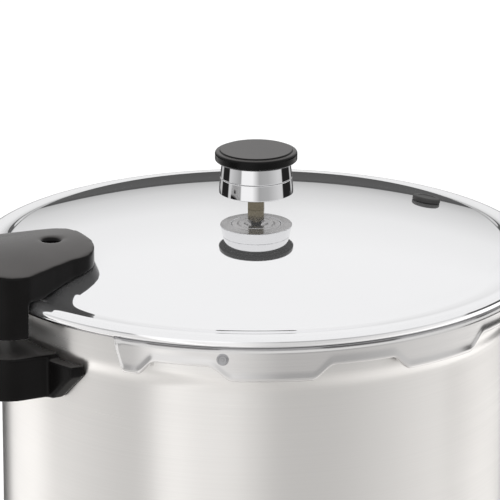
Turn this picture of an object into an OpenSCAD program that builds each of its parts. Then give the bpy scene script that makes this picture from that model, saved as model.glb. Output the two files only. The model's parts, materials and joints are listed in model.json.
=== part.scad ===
// Pressure canner: straight aluminium pot with a bayonet cover, a three-piece
// weighted regulator, side handles, a cover lock and a perforated rack.
// Origin: centre of the base on the surface it stands on. +Z is up and the
// handles lie along X, with the cover handle on the -X side.

/* [Pot] */
// Inside diameter of the pot
pot_inner_d = 298.5; // [280:0.5:330]
// Thickness of the pot's side wall
pot_wall = 3.5; // [2.5:0.1:5]
// Thickness of the pot's base
base_t = 5; // [4:0.5:8]
// Height of the pot's rim above the base
pot_h = 226; // [180:1:300]
// Radius of the rounded edge round the base
base_corner_r = 14; // [8:1:20]
// How far the thick rim band stands out of the wall
rim_step = 4.2; // [3:0.1:6]

/* [Cover] */
// Thickness of the pressed cover
cover_t = 2.8; // [2.2:0.1:3.4]
// Height of the dome above its edge
dome_h = 19.8; // [14:0.2:24]
// Radial width of the cover's edge, from the dome to the skirt's outer face
edge_w = 21.15; // [20:0.05:26]
// Height of the dome's edge above the flange
dome_lift = 4.1; // [3:0.1:6]
// Radial width of the slope from the dome's edge down to the flange
slope_w = 10.5; // [8:0.5:11]
// Radius of the rolled bead's round section
bead_r = 4.2; // [3.4:0.1:5]
// Height of the skirt below the flange, at the notches
skirt_h = 19; // [16:0.5:22]
// Height of the skirt below the flange, at the bayonet tabs
tab_h = 28; // [26:0.5:32]
// Thickness of the inward hook along each tab's bottom edge
hook_t = 3.2; // [2.4:0.1:4]
// How far each pot lug stands out of the rim band
lug_reach = 4; // [3:0.1:5]
// Thickness of each pot lug
lug_t = 4; // [3:0.1:5]

/* [Sealing ring] */
// Height of the sealing ring
seal_h = 5.7; // [4.5:0.1:7]
// Radial width of the sealing ring
seal_w = 13; // [10:0.5:14]
// Depth of the sealing ring's inner lip
seal_lip_h = 5; // [3:0.5:7]

/* [Regulator] */
// Height of the weights' lower edge above the top of the dome
weight_rise = 10.4; // [8:0.2:14]
// Height of one weight ring
ring_h = 9.5; // [7:0.1:12]
// Diameter of the lower weight ring
lower_ring_d = 44.6; // [40:0.2:50]
// Diameter of the upper weight ring
upper_ring_d = 42.8; // [38:0.2:48]
// Diameter of the core that carries the rings
core_d = 30.6; // [26:0.2:34]
// Diameter of the black cap
cap_d = 49; // [44:0.5:56]
// Height of the cap's rim
cap_h = 6.3; // [5:0.1:9]
// Bore of the vent pipe
vent_bore_d = 2.6; // [2:0.1:3.2]
// Outer diameter of the vent pipe's nozzle
vent_nozzle_d = 6; // [5:0.1:7]
// Diameter of the vent pipe's thread
vent_thread_d = 8; // [7:0.1:9]
// Width across the corners of the vent pipe's hexagon
vent_hex_d = 11; // [10:0.2:13]

/* [Overpressure plug] */
// Diameter of the plug's head
plug_d = 17; // [14:0.5:20]
// How far the plug's head stands out of the dome
plug_proud = 3; // [2:0.2:4]
// Diameter of the hole in the dome
plug_hole_d = 10; // [8:0.5:11]
// Distance of the plug's centre from the dome's edge
plug_inset = 29; // [23:1:60]
// Direction of the plug, counted from +X
plug_angle = 3; // [-20:0.5:20]

/* [Cover lock] */
// Distance of the cover lock from the dome's edge
lock_inset = 14; // [11:0.5:19]
// Diameter of the lock pin
lock_pin_d = 5; // [4:0.1:6]
// Travel of the lock pin
lock_travel = 3.5; // [2:0.1:4]
// Wall thickness of the lock bushing
lock_bushing_wall = 1.3; // [1:0.1:1.8]

/* [Handles] */
// How far the handles stand out from the pot's wall
grip_depth = 39.25; // [34:0.25:56]
// Width of each handle
handle_w = 86; // [76:1:100]
// Radius of the handles' outer corners
handle_corner_r = 22; // [14:1:28]
// Width of the cover handle at its inner tip
tip_w = 64; // [50:1:72]
// How far the cover handle reaches inwards over the dome
tip_overlap = 30; // [26:1:38]
// Height of the cover handle's crown above the flange
crown_h = 23; // [20:0.5:28]
// How far the crown's edges lie below its middle
crown_drop = 6.5; // [4:0.5:9]
// How far the cover handle hangs below the flange
grip_drop = 21; // [16:0.5:24]
// Height of each body handle
body_handle_h = 26; // [22:0.5:34]
// Clear height between the cover handle and the body handle
handle_gap = 11; // [8:0.5:16]
// Width of each wing beside the body handle's grip
wing_w = 19; // [17:0.5:26]
// Thickness of the wings
wing_t = 8; // [6:0.5:10]
// Depth of the finger hollow in each body handle
grip_hollow_h = 15; // [8:0.5:18]

/* [Brackets and fasteners] */
// Thickness of the handle brackets
bracket_t = 2; // [1.5:0.1:3]
// Width of the handle brackets
bracket_w = 28; // [22:1:34]
// Diameter of the rivets' shanks
rivet_d = 4; // [3:0.2:5]
// Diameter of the handle screws
screw_d = 5; // [4:0.5:6]
// Distance between the two screws or rivets of a pair
pair_gap = 17; // [14:0.5:18]

/* [Rack] */
// Radial clearance of the rack inside the pot's rounded corner
rack_fit = 0.75; // [0.5:0.05:3]
// Height of the rack
rack_h = 13; // [8:0.5:20]
// Thickness of the rack's sheet
rack_t = 1.6; // [1.2:0.1:2.5]
// Diameter of the rack's holes
rack_hole_d = 15; // [8:0.5:18]

/* [Clearances] */
// Clear space between bodies that pass each other
body_gap = 0.4; // [0.3:0.05:0.8]
// Radial clearance of a running fit
running_fit = 0.05; // [0.02:0.01:0.1]
// Radial clearance of a shank in its hole
shank_fit = 0.1; // [0.05:0.05:0.2]

/* [Hidden] */
// cutting shapes run this far past what they cut
over = 1;
far = 600;
halves = [0, 180];
fine = 240;
round_fn = 64;
// pot
pot_r = pot_inner_d / 2 + pot_wall;
rim_r = pot_r + rim_step;
rim_taper = 4;
rim_edge_r = 1.6;
wall_gap = 0.3;
// cover, measured from the flange's top face
cover_z = pot_h + seal_h + cover_t;
hook_inner_r = rim_r + lug_reach + body_gap;
skirt_clear = 4;
skirt_r = hook_inner_r + skirt_clear;
skirt_outer_r = skirt_r + cover_t;
bead_proud = 0.6;
bead_x = skirt_outer_r - bead_r + bead_proud;
groove_r = 1.6;
dome_edge_r = skirt_outer_r - edge_w;
flange_r = dome_edge_r + slope_w;
dome_sphere_r = (pow(dome_edge_r, 2) + pow(dome_h, 2)) / (2 * dome_h);
dome_top_z = cover_z + dome_lift + dome_h;
dome_centre_z = dome_top_z - dome_sphere_r;
// height of the dome's outer face at a distance r from the axis
function dome_z(r) = dome_centre_z + sqrt(pow(dome_sphere_r, 2) - pow(r, 2));
// height of the dome's inner face at a distance r from the axis
function dome_under_z(r) = dome_centre_z + sqrt(pow(dome_sphere_r - cover_t, 2) - pow(r, 2));
// bayonet, as pairs of first and last angle, repeated on the other half
tab_spans = [[216, 222], [237, 257], [273.5, 293], [312, 324]];
lug_spans = [[217, 222], [241, 253], [276.5, 290], [314.5, 323.5]];
hook_z = cover_z - tab_h;
lug_z = hook_z + hook_t + body_gap;
// stop rivets in the skirt
stop_angle = 237.5;
stop_drop = 14.3;
stop_head_d = 7;
stop_head_t = 0.7;
stop_tail = 1.2;
// sealing ring
seal_outer_r = skirt_r - body_gap;
seal_inner_r = seal_outer_r - seal_w;
seal_lip_w = 1.8;
seal_lip_r = pot_inner_d / 2 - body_gap;
// regulator
seam = 0.1;
weight_z = dome_top_z + weight_rise;
upper_ring_z = weight_z + ring_h + seam;
cap_z = upper_ring_z + ring_h + seam;
cap_top_t = 0.9;
cap_top_inset = 3.2;
cap_edge_r = 1.5;
cap_socket_d = 8;
cap_socket_h = 4;
ring_edge_r = 1.6;
core_mouth_h = 3;
nozzle_bite = 13;
nozzle_top_z = weight_z + nozzle_bite;
nozzle_fit = 0.4;
hex_h = 7;
nut_d = vent_thread_d + 9;
nut_h = 4.5;
nut_drop = 0.15;
thread_drop = 3;
// overpressure plug
plug_place_r = dome_edge_r - plug_inset;
plug_tilt = asin(plug_place_r / dome_sphere_r);
plug_edge_r = 1.2;
plug_inner_d = plug_hole_d + 4;
plug_inner_t = 3;
plug_sink = 0.2;
// cover lock
lock_place_r = dome_edge_r - lock_inset;
lock_bushing_d = lock_pin_d + 2 * lock_bushing_wall;
lock_bushing_rise = 5;
lock_bushing_tail = 1;
lock_bushing_top = dome_z(lock_place_r) + lock_bushing_rise;
lock_nut_d = lock_bushing_d + 5.4;
lock_nut_h = 3.5;
lock_nut_z = dome_under_z(lock_place_r + lock_nut_d / 2) - seam - lock_nut_h;
lock_bushing_z = lock_nut_z - lock_bushing_tail;
lock_gasket_d = lock_pin_d + 4;
lock_gasket_t = 2.2;
lock_gasket_z = lock_bushing_z - lock_travel - seam - lock_gasket_t;
lock_pin_tail = 1;
lock_head_d = lock_pin_d + 2.2;
lock_head_h = 3.2;
lock_hole_d = lock_bushing_d + 2.4;
lock_sink_d = lock_hole_d + 3.4;
lock_sink_h = 2;
// what both handles share
handle_reach = pot_r + grip_depth;
pocket_fit = 0.5;
screw_head_d = screw_d + 4;
screw_head_h = 3.4;
screw_end_gap = 1;
rivet_head_d = rivet_d + 3;
rivet_head_t = 1.8;
// cover handle
tip_r = dome_edge_r - tip_overlap;
tip_corner_r = 16;
crown_r = (pow(handle_w / 2, 2) + pow(crown_drop, 2)) / (2 * crown_drop);
grip_skirt_gap = 2.6;
grip_inner_r = skirt_outer_r + grip_skirt_gap;
widen_r = grip_inner_r - 6;
step_r = flange_r + 0.8;
step_z = 0.6;
handle_clear = 0.4;
bracket_end_r = handle_reach - 8;
screw_place_r = handle_reach - 14;
screw_sink = 6;
screw_in = bracket_t + 9;
rivet_place_r = bead_x - 1.5;
// body handles
body_handle_top = cover_z - grip_drop - handle_gap;
body_handle_z = body_handle_top - body_handle_h;
rim_h = pot_h - body_handle_top - rim_taper - wall_gap;
wing_y = handle_w / 2 + wing_w;
wing_top_drop = 3;
wing_slant_h = 17;
wing_slant_w = 16;
tab_z = body_handle_top - 9;
tab_end_r = handle_reach - 14;
tab_screw_r = handle_reach - 22;
tab_screw_bite = 6;
plate_h = 14;
plate_rivet_y = bracket_w / 2 + rivet_head_d;
plate_angle = asin((plate_rivet_y + rivet_head_d / 2 + 2) / pot_r);
plate_rivet_angle = asin(plate_rivet_y / pot_r);
pocket_angle = plate_angle + 1;
hollow_r = pot_r + 7.75;
hollow_wall = 6;
roof_z = body_handle_z + grip_hollow_h;
// rack
rack_r = pot_inner_d / 2 - (base_corner_r - pot_wall) - rack_fit;
rack_lip_t = 1.6;
rack_ring_count = 3;
rack_edge_w = 3;
rack_ring_pitch = (rack_r - rack_lip_t - rack_edge_w - rack_hole_d / 2) / rack_ring_count;

// A rectangle in the r-z plane, from radius r0 to r1 and height z0 to z1.
module rz_box(r0, r1, z0, z1) {
    translate([r0, z0]) square([r1 - r0, z1 - z0]);
}

// A rectangle in the r-z plane whose outer corners are rounded.
module rz_round(r0, r1, z0, z1, edge) {
    rz_box(r0, r1 - edge, z0, z1);
    rz_box(r0, r1, z0 + edge, z1 - edge);
    translate([r1 - edge, z0 + edge]) circle(edge, $fn = round_fn);
    translate([r1 - edge, z1 - edge]) circle(edge, $fn = round_fn);
}

// Turns a profile about Z, over a span of angles in degrees.
module turned_span(span) {
    rotate([0, 0, span[0]]) rotate_extrude(angle = span[1] - span[0], $fn = fine) children();
}

// Both halves of the bayonet share the same spans.
module each_span(spans) {
    for (half = halves) {
        for (span = spans) {
            turned_span([span[0] + half, span[1] + half]) children();
        }
    }
}

// A hexagonal prism, d wide across its corners.
module hex_prism(d, h) {
    cylinder(d = d, h = h, $fn = 6);
}

// ---------------------------------------------------------------- pot

module pot_profile() {
    rz_box(0, pot_r - base_corner_r, 0, base_corner_r);
    rz_box(0, pot_r, base_corner_r, pot_h - rim_h);
    translate([pot_r - base_corner_r, base_corner_r]) circle(base_corner_r, $fn = fine);
    polygon([
        [0, pot_h - rim_h - rim_taper],
        [pot_r, pot_h - rim_h - rim_taper],
        [rim_r, pot_h - rim_h],
        [0, pot_h - rim_h]
    ]);
    rz_box(0, rim_r, pot_h - rim_h, pot_h - rim_edge_r);
    rz_box(0, rim_r - rim_edge_r, pot_h - rim_h, pot_h);
    translate([rim_r - rim_edge_r, pot_h - rim_edge_r]) circle(rim_edge_r, $fn = round_fn);
}

module pot_hollow_profile() {
    inner_r = pot_inner_d / 2;
    inner_corner = base_corner_r - pot_wall;
    rz_box(0, inner_r, base_t + inner_corner, pot_h + over);
    rz_box(0, inner_r - inner_corner, base_t, pot_h + over);
    translate([inner_r - inner_corner, base_t + inner_corner]) circle(inner_corner, $fn = fine);
}

module canner_body() {
    color([0.80, 0.80, 0.80]) difference() {
        union() {
            rotate_extrude($fn = fine) intersection() {
                difference() {
                    pot_profile();
                    pot_hollow_profile();
                }
                rz_box(0, far, 0, far);
            }
            each_span(lug_spans) rz_box(rim_r - over, rim_r + lug_reach, lug_z, lug_z + lug_t);
        }
        for (side = halves) body_rivet_places(side) wall_hole(rivet_d / 2 + shank_fit);
    }
}

// ---------------------------------------------------------------- body handles

// Puts its children where the two rivets of one body bracket go, with +X pointing outwards.
module body_rivet_places(side) {
    for (turn = [-plate_rivet_angle, plate_rivet_angle]) {
        rotate([0, 0, side + turn]) translate([0, 0, tab_z]) children();
    }
}

// A hole along X through the pot's wall.
module wall_hole(r) {
    translate([pot_r - 2 * pot_wall, 0, 0]) rotate([0, 90, 0])
        cylinder(r = r, h = 4 * pot_wall, $fn = round_fn);
}

module body_bracket(side) {
    plate_r = pot_r + wall_gap / 2;
    color([0.62, 0.62, 0.64]) difference() {
        union() {
            turned_span([side - plate_angle, side + plate_angle])
                rz_box(plate_r, plate_r + bracket_t, tab_z - plate_h / 2, tab_z + plate_h / 2);
            rotate([0, 0, side]) intersection() {
                translate([0, -bracket_w / 2, tab_z - bracket_t / 2])
                    cube([tab_end_r, bracket_w, bracket_t]);
                difference() {
                    cylinder(r = far, h = far, $fn = fine);
                    cylinder(r = plate_r + bracket_t / 2, h = far, $fn = fine);
                }
            }
        }
        body_rivet_places(side) wall_hole(rivet_d / 2 + shank_fit);
        body_screw_places(side) cylinder(r = screw_d / 2 + shank_fit, h = far, $fn = round_fn);
    }
}

module body_bracket_left() {
    body_bracket(180);
}

module body_bracket_right() {
    body_bracket(0);
}

module body_bracket_rivets() {
    shank = pot_wall + bracket_t + wall_gap;
    color([0.75, 0.75, 0.76]) for (side = halves) {
        body_rivet_places(side) {
            translate([pot_r - pot_wall - rivet_head_t, 0, 0]) rotate([0, 90, 0])
                cylinder(d = rivet_head_d, h = rivet_head_t - wall_gap / 2, $fn = round_fn);
            translate([pot_r - pot_wall - rivet_head_t, 0, 0]) rotate([0, 90, 0])
                cylinder(d = rivet_d, h = shank + 2 * rivet_head_t, $fn = round_fn);
            translate([pot_r + bracket_t + wall_gap, 0, 0]) rotate([0, 90, 0])
                cylinder(d = rivet_head_d, h = rivet_head_t, $fn = round_fn);
        }
    }
}

// The two screws of one body handle stand on the base's plane under their places.
module body_screw_places(side) {
    rotate([0, 0, side]) for (y = [-pair_gap / 2, pair_gap / 2]) {
        translate([tab_screw_r, y, 0]) children();
    }
}

// A handle's outline seen from above: straight sides and two round outer corners.
module grip_outline(reach, w, corner) {
    square_reach = reach - corner;
    translate([0, -w / 2]) square([square_reach, w]);
    translate([0, -w / 2 + corner]) square([reach, w - 2 * corner]);
    for (y = [-1, 1]) translate([square_reach, y * (w / 2 - corner)]) circle(corner, $fn = round_fn);
}

// The wings hug the wall on both sides of the grip, their lower corners cut off on a slant.
module handle_wings() {
    foot_y = wing_y - wing_slant_w;
    wing_top = body_handle_top - wing_top_drop;
    intersection() {
        rotate_extrude($fn = fine) rz_box(pot_r, pot_r + wall_gap + wing_t, body_handle_z, wing_top);
        rotate([90, 0, 90]) linear_extrude(far) polygon([
            [-wing_y, wing_top + over],
            [-wing_y, body_handle_z + wing_slant_h],
            [-foot_y, body_handle_z],
            [-foot_y, body_handle_z - over],
            [foot_y, body_handle_z - over],
            [foot_y, body_handle_z],
            [wing_y, body_handle_z + wing_slant_h],
            [wing_y, wing_top + over]
        ]);
    }
}

module body_handle_solid() {
    inner = pot_r + wall_gap;
    plate_outer = pot_r + bracket_t + wall_gap + rivet_head_t + pocket_fit;
    slot_w = bracket_w + 2 * pocket_fit;
    pocket_h = plate_h + 2 * pocket_fit;
    difference() {
        union() {
            translate([0, 0, body_handle_z]) linear_extrude(body_handle_h)
                grip_outline(handle_reach, handle_w, handle_corner_r);
            handle_wings();
        }
        cylinder(r = inner, h = far, $fn = fine);
        // finger hollow, open downwards
        translate([0, 0, body_handle_z - over]) linear_extrude(grip_hollow_h + over) difference() {
            grip_outline(
                handle_reach - hollow_wall,
                handle_w - 2 * hollow_wall,
                handle_corner_r - hollow_wall
            );
            circle(hollow_r, $fn = fine);
        }
        // pocket for the bracket's plate and its rivet heads
        turned_span([-pocket_angle, pocket_angle])
            rz_box(inner - over, plate_outer, tab_z - pocket_h / 2, tab_z + pocket_h / 2);
        // slot for the bracket's tab
        translate([0, -slot_w / 2, tab_z - bracket_t / 2 - shank_fit])
            cube([tab_end_r + pocket_fit, slot_w, bracket_t + 2 * shank_fit]);
        body_screw_places(0)
            cylinder(r = screw_d / 2 + shank_fit, h = tab_z + tab_screw_bite, $fn = round_fn);
    }
}

module body_handle(side) {
    color([0.07, 0.07, 0.07]) rotate([0, 0, side]) body_handle_solid();
}

module body_handle_left() {
    body_handle(180);
}

module body_handle_right() {
    body_handle(0);
}

module body_handle_screws() {
    head_z = roof_z - screw_head_h;
    color([0.72, 0.72, 0.74]) for (side = halves) {
        body_screw_places(side) {
            translate([0, 0, head_z])
                cylinder(d = screw_head_d, h = screw_head_h - shank_fit, $fn = round_fn);
            translate([0, 0, head_z])
                cylinder(d = screw_d, h = tab_z + tab_screw_bite - screw_end_gap - head_z, $fn = round_fn);
        }
    }
}

// ---------------------------------------------------------------- rack

module canning_rack() {
    color([0.78, 0.78, 0.79]) translate([0, 0, base_t]) difference() {
        union() {
            translate([0, 0, rack_h - rack_t]) cylinder(r = rack_r, h = rack_t, $fn = fine);
            difference() {
                cylinder(r = rack_r, h = rack_h - rack_t / 2, $fn = fine);
                translate([0, 0, -over]) cylinder(r = rack_r - rack_lip_t, h = rack_h + over, $fn = fine);
            }
        }
        cylinder(d = rack_hole_d, h = rack_h + over, $fn = round_fn);
        for (ring = [1 : rack_ring_count]) {
            for (i = [0 : 6 * ring - 1]) {
                rotate([0, 0, i * 60 / ring]) translate([ring * rack_ring_pitch, 0, 0])
                    cylinder(d = rack_hole_d, h = rack_h + over, $fn = round_fn);
            }
        }
    }
}

// ---------------------------------------------------------------- cover

module sealing_ring() {
    color([0.12, 0.12, 0.12]) rotate_extrude($fn = fine) {
        rz_box(seal_inner_r, seal_outer_r, pot_h, pot_h + seal_h);
        rz_box(seal_lip_r - seal_lip_w, seal_lip_r, pot_h - seal_lip_h, pot_h + seal_h);
        rz_box(seal_lip_r - seal_lip_w, seal_inner_r + over, pot_h + seal_h / 2, pot_h + seal_h);
    }
}

// The dome's shell, cut from two concentric circles.
module dome_profile() {
    intersection() {
        translate([0, dome_centre_z]) difference() {
            circle(dome_sphere_r, $fn = 2880);
            circle(dome_sphere_r - cover_t, $fn = 2880);
        }
        rz_box(0, dome_edge_r, cover_z - cover_t, far);
    }
}

// The slope from the dome's edge down to the flange, its ends sunk in both.
module slope_profile() {
    inner_r = dome_edge_r - cover_t / 2;
    sink = cover_t / 4;
    polygon([
        [inner_r, dome_z(inner_r) - sink],
        [flange_r, cover_z - sink],
        [flange_r, cover_z - cover_t + sink],
        [inner_r, dome_under_z(inner_r) + sink]
    ]);
}

// The rolled bead, kept outside the sealing ring's channel.
module bead_profile() {
    intersection() {
        translate([bead_x, cover_z - bead_r]) circle(bead_r, $fn = round_fn);
        union() {
            rz_box(bead_x, far, cover_z - cover_t, cover_z);
            rz_box(skirt_r, far, 0, cover_z);
        }
    }
}

// The skirt with its hook; the notches between the tabs are cut later.
module skirt_profile() {
    difference() {
        rz_box(skirt_r, skirt_outer_r, hook_z, cover_z - cover_t);
        translate([skirt_outer_r + groove_r / 2, cover_z - 2 * bead_r + groove_r / 4])
            circle(groove_r, $fn = round_fn);
    }
    rz_box(hook_inner_r, skirt_outer_r, hook_z, hook_z + hook_t);
}

// The flange with its bead and skirt.
module edge_profile() {
    rz_box(flange_r - slope_w / 4, bead_x, cover_z - cover_t, cover_z);
    bead_profile();
    skirt_profile();
}

// A sector about Z from one angle to another, between two heights.
module sector(from, to, z0, z1) {
    middle = (from + to) / 2;
    translate([0, 0, z0]) linear_extrude(z1 - z0) polygon([
        [0, 0],
        [far * cos(from), far * sin(from)],
        [far * cos(middle), far * sin(middle)],
        [far * cos(to), far * sin(to)]
    ]);
}

// The notches between the tabs, and the long gaps over the body handles.
module skirt_cuts() {
    last = len(tab_spans) - 1;
    for (half = halves) {
        for (i = [0 : last - 1]) {
            sector(tab_spans[i][1] + half, tab_spans[i + 1][0] + half, hook_z - over, cover_z - skirt_h);
        }
        sector(tab_spans[last][1] + half, tab_spans[0][0] + 180 + half, hook_z - over, cover_z - 2 * bead_r);
    }
}

// Puts its children on the dome, with +Z along the dome's outward normal.
module on_dome_at_plug() {
    translate([0, 0, dome_centre_z]) rotate([0, plug_tilt, plug_angle])
        translate([0, 0, dome_sphere_r]) children();
}

module on_cover_lock() {
    rotate([0, 0, 180]) translate([lock_place_r, 0, 0]) children();
}

module stop_rivet_places() {
    for (half = halves) {
        rotate([0, 0, stop_angle + half]) translate([skirt_r, 0, cover_z - stop_drop])
            rotate([0, 90, 0]) children();
    }
}

// Where the two rivets of the cover bracket stand.
module cover_rivet_places() {
    rotate([0, 0, 180]) for (y = [-pair_gap / 2, pair_gap / 2]) {
        translate([rivet_place_r, y, 0]) children();
    }
}

module cover() {
    color([0.90, 0.90, 0.91]) difference() {
        union() {
            rotate_extrude($fn = fine) dome_profile();
            rotate_extrude($fn = fine) slope_profile();
            rotate_extrude($fn = fine) edge_profile();
        }
        skirt_cuts();
        translate([0, 0, dome_top_z - 2 * cover_t])
            cylinder(r = vent_thread_d / 2 + shank_fit, h = 4 * cover_t, $fn = round_fn);
        on_dome_at_plug() translate([0, 0, -2 * cover_t])
            cylinder(r = plug_hole_d / 2 + shank_fit, h = 4 * cover_t, $fn = round_fn);
        on_cover_lock() translate([0, 0, dome_under_z(lock_place_r) - cover_t])
            cylinder(r = lock_bushing_d / 2 + shank_fit, h = 4 * cover_t, $fn = round_fn);
        stop_rivet_places() translate([0, 0, -cover_t])
            cylinder(r = rivet_d / 2 + shank_fit, h = 4 * cover_t, $fn = round_fn);
        cover_rivet_places() translate([0, 0, cover_z - 2 * cover_t])
            cylinder(r = rivet_d / 2 + shank_fit, h = 4 * cover_t, $fn = round_fn);
    }
}

module stop_rivets() {
    shank_h = stop_tail + cover_t + stop_head_t;
    color([0.70, 0.70, 0.71]) stop_rivet_places() {
        translate([0, 0, -stop_tail]) cylinder(d = stop_head_d, h = stop_tail - body_gap, $fn = round_fn);
        translate([0, 0, -stop_tail]) cylinder(d = rivet_d, h = shank_h, $fn = round_fn);
        translate([0, 0, cover_t]) cylinder(d = stop_head_d, h = stop_head_t, $fn = round_fn);
    }
}

module overpressure_plug() {
    color([0.10, 0.10, 0.10]) on_dome_at_plug() {
        rotate_extrude($fn = round_fn) rz_round(0, plug_d / 2, 0, plug_proud, plug_edge_r);
        translate([0, 0, -cover_t - plug_sink - plug_inner_t / 2])
            cylinder(d = plug_hole_d, h = cover_t + plug_sink + plug_inner_t, $fn = round_fn);
        translate([0, 0, -cover_t - plug_sink - plug_inner_t])
            cylinder(d = plug_inner_d, h = plug_inner_t, $fn = round_fn);
    }
}

// ---------------------------------------------------------------- vent pipe and regulator

module vent_pipe() {
    foot_z = dome_top_z - cover_t - nut_drop - nut_h - thread_drop;
    color([0.72, 0.66, 0.50]) difference() {
        union() {
            translate([0, 0, foot_z])
                cylinder(d = vent_thread_d, h = dome_top_z + over - foot_z, $fn = round_fn);
            translate([0, 0, dome_top_z]) hex_prism(vent_hex_d, hex_h);
            translate([0, 0, dome_top_z + hex_h - over])
                cylinder(d = vent_nozzle_d, h = nozzle_top_z - dome_top_z - hex_h + over, $fn = round_fn);
        }
        translate([0, 0, foot_z - over]) cylinder(d = vent_bore_d, h = far, $fn = round_fn);
    }
}

module vent_pipe_nut() {
    color([0.72, 0.66, 0.50]) translate([0, 0, dome_top_z - cover_t - nut_drop - nut_h]) difference() {
        hex_prism(nut_d, nut_h);
        translate([0, 0, -over])
            cylinder(r = vent_thread_d / 2 + shank_fit, h = nut_h + 2 * over, $fn = round_fn);
    }
}

// One weight ring: rounded outer edges and a bore that slides on the core.
module weight_ring(d, z) {
    color([0.82, 0.82, 0.84]) translate([0, 0, z]) difference() {
        rotate_extrude($fn = fine) rz_round(0, d / 2, 0, ring_h, ring_edge_r);
        translate([0, 0, -over])
            cylinder(r = core_d / 2 + running_fit, h = ring_h + 2 * over, $fn = round_fn);
    }
}

module lower_weight_ring() {
    weight_ring(lower_ring_d, weight_z);
}

module upper_weight_ring() {
    weight_ring(upper_ring_d, upper_ring_z);
}

module regulator_core() {
    color([0.70, 0.70, 0.72]) difference() {
        union() {
            translate([0, 0, weight_z + seam])
                cylinder(d = core_d, h = cap_z - weight_z - seam, $fn = round_fn);
            translate([0, 0, cap_z - over])
                cylinder(d = cap_socket_d, h = cap_socket_h + over, $fn = round_fn);
        }
        translate([0, 0, weight_z - over])
            cylinder(r = vent_nozzle_d / 2 + nozzle_fit, h = nozzle_bite + seam + over, $fn = round_fn);
        translate([0, 0, weight_z])
            cylinder(r1 = core_d / 4, r2 = vent_nozzle_d / 2, h = core_mouth_h, $fn = round_fn);
    }
}

module regulator_cap() {
    color([0.06, 0.06, 0.07]) translate([0, 0, cap_z]) difference() {
        union() {
            rotate_extrude($fn = fine) rz_round(0, cap_d / 2, 0, cap_h, cap_edge_r);
            cylinder(r = cap_d / 2 - cap_top_inset, h = cap_h + cap_top_t, $fn = fine);
        }
        translate([0, 0, -over])
            cylinder(r = cap_socket_d / 2 + shank_fit, h = cap_socket_h + over + shank_fit, $fn = round_fn);
    }
}

// ---------------------------------------------------------------- cover lock

module cover_lock_bushing() {
    bushing_h = lock_bushing_top - lock_bushing_z;
    color([0.68, 0.68, 0.70]) on_cover_lock() translate([0, 0, lock_bushing_z]) difference() {
        cylinder(d = lock_bushing_d, h = bushing_h, $fn = round_fn);
        translate([0, 0, -over])
            cylinder(r = lock_pin_d / 2 + running_fit, h = bushing_h + 2 * over, $fn = round_fn);
    }
}

module cover_lock_nut() {
    color([0.68, 0.68, 0.70]) on_cover_lock() translate([0, 0, lock_nut_z]) difference() {
        hex_prism(lock_nut_d, lock_nut_h);
        translate([0, 0, -over])
            cylinder(r = lock_bushing_d / 2 + shank_fit, h = lock_nut_h + 2 * over, $fn = round_fn);
    }
}

// The pin's head rests just above the bushing.
module cover_lock_pin() {
    pin_z = lock_gasket_z - lock_pin_tail;
    head_z = lock_bushing_top + seam;
    color([0.74, 0.74, 0.76]) on_cover_lock() {
        translate([0, 0, pin_z])
            cylinder(d = lock_pin_d, h = head_z + lock_head_h / 2 - pin_z, $fn = round_fn);
        translate([0, 0, head_z]) cylinder(d = lock_head_d, h = lock_head_h, $fn = round_fn);
    }
}

module cover_lock_gasket() {
    color([0.15, 0.15, 0.15]) on_cover_lock() translate([0, 0, lock_gasket_z]) difference() {
        cylinder(d = lock_gasket_d, h = lock_gasket_t, $fn = round_fn);
        translate([0, 0, -over])
            cylinder(r = lock_pin_d / 2 + running_fit, h = lock_gasket_t + 2 * over, $fn = round_fn);
    }
}

// ---------------------------------------------------------------- cover handle

module cover_bracket() {
    color([0.62, 0.62, 0.64]) difference() {
        rotate([0, 0, 180]) translate([step_r, -bracket_w / 2, cover_z])
            cube([bracket_end_r - step_r, bracket_w, bracket_t]);
        cover_rivet_places() translate([0, 0, cover_z - over])
            cylinder(r = rivet_d / 2 + shank_fit, h = bracket_t + 2 * over, $fn = round_fn);
        cover_screw_places() translate([0, 0, cover_z - over])
            cylinder(r = screw_d / 2 + shank_fit, h = bracket_t + 2 * over, $fn = round_fn);
    }
}

module cover_screw_places() {
    rotate([0, 0, 180]) for (y = [-pair_gap / 2, pair_gap / 2]) {
        translate([screw_place_r, y, 0]) children();
    }
}

module cover_bracket_rivets() {
    color([0.75, 0.75, 0.76]) cover_rivet_places() {
        translate([0, 0, cover_z - cover_t])
            cylinder(d = rivet_d, h = cover_t + bracket_t + rivet_head_t, $fn = round_fn);
        translate([0, 0, cover_z + bracket_t]) cylinder(d = rivet_head_d, h = rivet_head_t, $fn = round_fn);
    }
}

// The cover handle's outline from above: a narrower tip that widens to the grip.
module cover_handle_outline() {
    tip_y = tip_w / 2 - tip_corner_r;
    polygon([
        [tip_r, -tip_y],
        [tip_r + tip_corner_r, -tip_w / 2],
        [widen_r, -handle_w / 2],
        [handle_reach - handle_corner_r, -handle_w / 2],
        [handle_reach - handle_corner_r, handle_w / 2],
        [widen_r, handle_w / 2],
        [tip_r + tip_corner_r, tip_w / 2],
        [tip_r, tip_y]
    ]);
    for (y = [-1, 1]) translate([tip_r + tip_corner_r, y * tip_y]) circle(tip_corner_r, $fn = round_fn);
    intersection() {
        grip_outline(handle_reach, handle_w, handle_corner_r);
        translate([widen_r, -handle_w]) square([far, 2 * handle_w]);
    }
}

// A rounded bar along X whose top is the handle's crown.
module crown_bar() {
    translate([0, 0, cover_z + crown_h - crown_r]) rotate([0, 90, 0])
        cylinder(r = crown_r, h = far, $fn = fine);
}

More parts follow.
